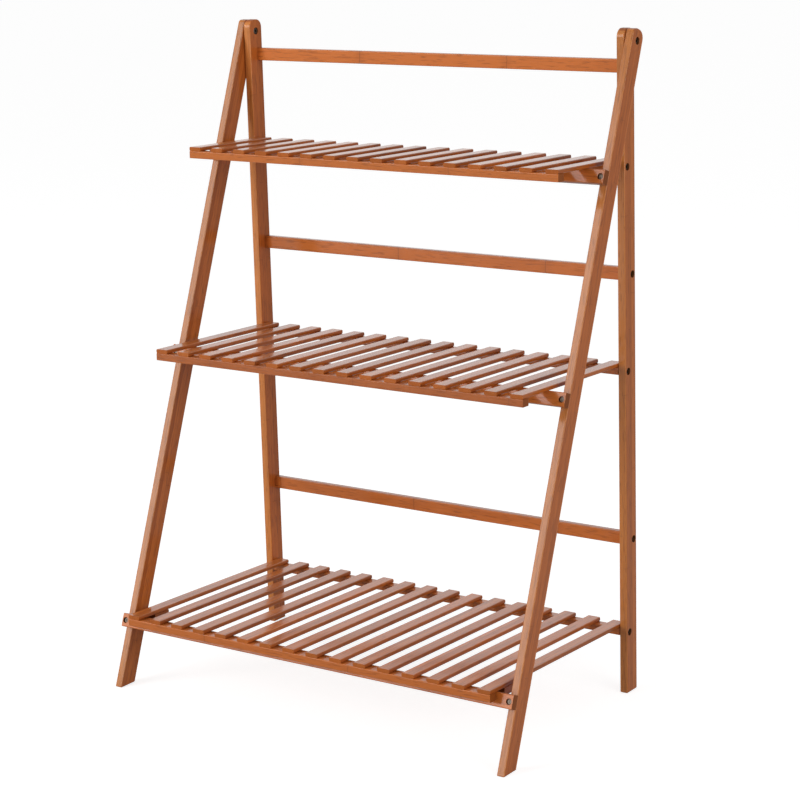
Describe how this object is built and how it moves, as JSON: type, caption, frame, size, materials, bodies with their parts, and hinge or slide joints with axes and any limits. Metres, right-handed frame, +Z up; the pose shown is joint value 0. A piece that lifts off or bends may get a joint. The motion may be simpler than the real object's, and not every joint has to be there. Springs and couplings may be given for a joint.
{
  "type": "tiered plant stand",
  "caption": "Free-standing folding plant stand: slatted wooden shelves hinged in an upright rear frame and resting on the cross bars of a leaning front frame.",
  "frame": {"origin": "on the floor, in the middle of the bounding box of the stand standing open", "axes": "+X across the stand to the right seen from the front, +Y to the rear, -Y to the front, +Z up"},
  "size_m": [0.685, 0.39, 0.96],
  "materials": {
    "stained_bamboo": "clear gloss varnish over orange-brown stained laminated bamboo",
    "steel": "zinc-plated steel screws and bolts"
  },
  "bodies": {
    "rear_frame": {"rear_left_leg": "stained_bamboo", "rear_right_leg": "stained_bamboo", "lower_rail": "stained_bamboo", "middle_rail": "stained_bamboo", "upper_rail": "stained_bamboo", "rail_screws": "steel"},
    "front_frame": {"front_left_leg": "stained_bamboo", "front_right_leg": "stained_bamboo", "lower_bar": "stained_bamboo", "middle_bar": "stained_bamboo", "upper_bar": "stained_bamboo", "bar_screws": "steel", "top_pivot_bolts": "steel", "top_pivot_nuts": "steel"},
    "bottom_shelf": {"bottom_front_batten": "stained_bamboo", "bottom_rear_batten": "stained_bamboo", "bottom_slat_pair_1": "stained_bamboo", "bottom_slat_pair_2": "stained_bamboo", "bottom_slat_pair_3": "stained_bamboo", "bottom_slat_pair_4": "stained_bamboo", "bottom_slat_pair_5": "stained_bamboo", "bottom_slat_pair_6": "stained_bamboo", "bottom_slat_pair_7": "stained_bamboo", "bottom_slat_pair_8": "stained_bamboo", "bottom_pivot_screws": "steel", "bottom_stop_blocks": "stained_bamboo"},
    "middle_shelf": {"middle_front_batten": "stained_bamboo", "middle_rear_batten": "stained_bamboo", "middle_slat_pair_1": "stained_bamboo", "middle_slat_pair_2": "stained_bamboo", "middle_slat_pair_3": "stained_bamboo", "middle_slat_pair_4": "stained_bamboo", "middle_slat_pair_5": "stained_bamboo", "middle_slat_pair_6": "stained_bamboo", "middle_slat_pair_7": "stained_bamboo", "middle_slat_pair_8": "stained_bamboo", "middle_pivot_screws": "steel"},
    "top_shelf": {"top_front_batten": "stained_bamboo", "top_rear_batten": "stained_bamboo", "top_slat_pair_1": "stained_bamboo", "top_slat_pair_2": "stained_bamboo", "top_slat_pair_3": "stained_bamboo", "top_slat_pair_4": "stained_bamboo", "top_slat_pair_5": "stained_bamboo", "top_slat_pair_6": "stained_bamboo", "top_slat_pair_7": "stained_bamboo", "top_slat_pair_8": "stained_bamboo", "top_pivot_screws": "steel"}
  },
  "joints": [
    {"name": "front_frame_fold", "type": "hinge", "parent": "rear_frame", "child": "front_frame", "pos_m": [0, 0.17906, 0.9425], "axis": [1, 0, 0], "range_deg": [0, 19]},
    {"name": "bottom_shelf_lift", "type": "hinge", "parent": "rear_frame", "child": "bottom_shelf", "pos_m": [0, 0.17286, 0.0922], "axis": [-1, 0, 0], "range_deg": [0, 86.4]},
    {"name": "middle_shelf_lift", "type": "hinge", "parent": "rear_frame", "child": "middle_shelf", "pos_m": [0, 0.17286, 0.4797], "axis": [-1, 0, 0], "range_deg": [0, 86.4]},
    {"name": "top_shelf_lift", "type": "hinge", "parent": "rear_frame", "child": "top_shelf", "pos_m": [0, 0.17286, 0.7699], "axis": [-1, 0, 0], "range_deg": [0, 86.4]}
  ]
}
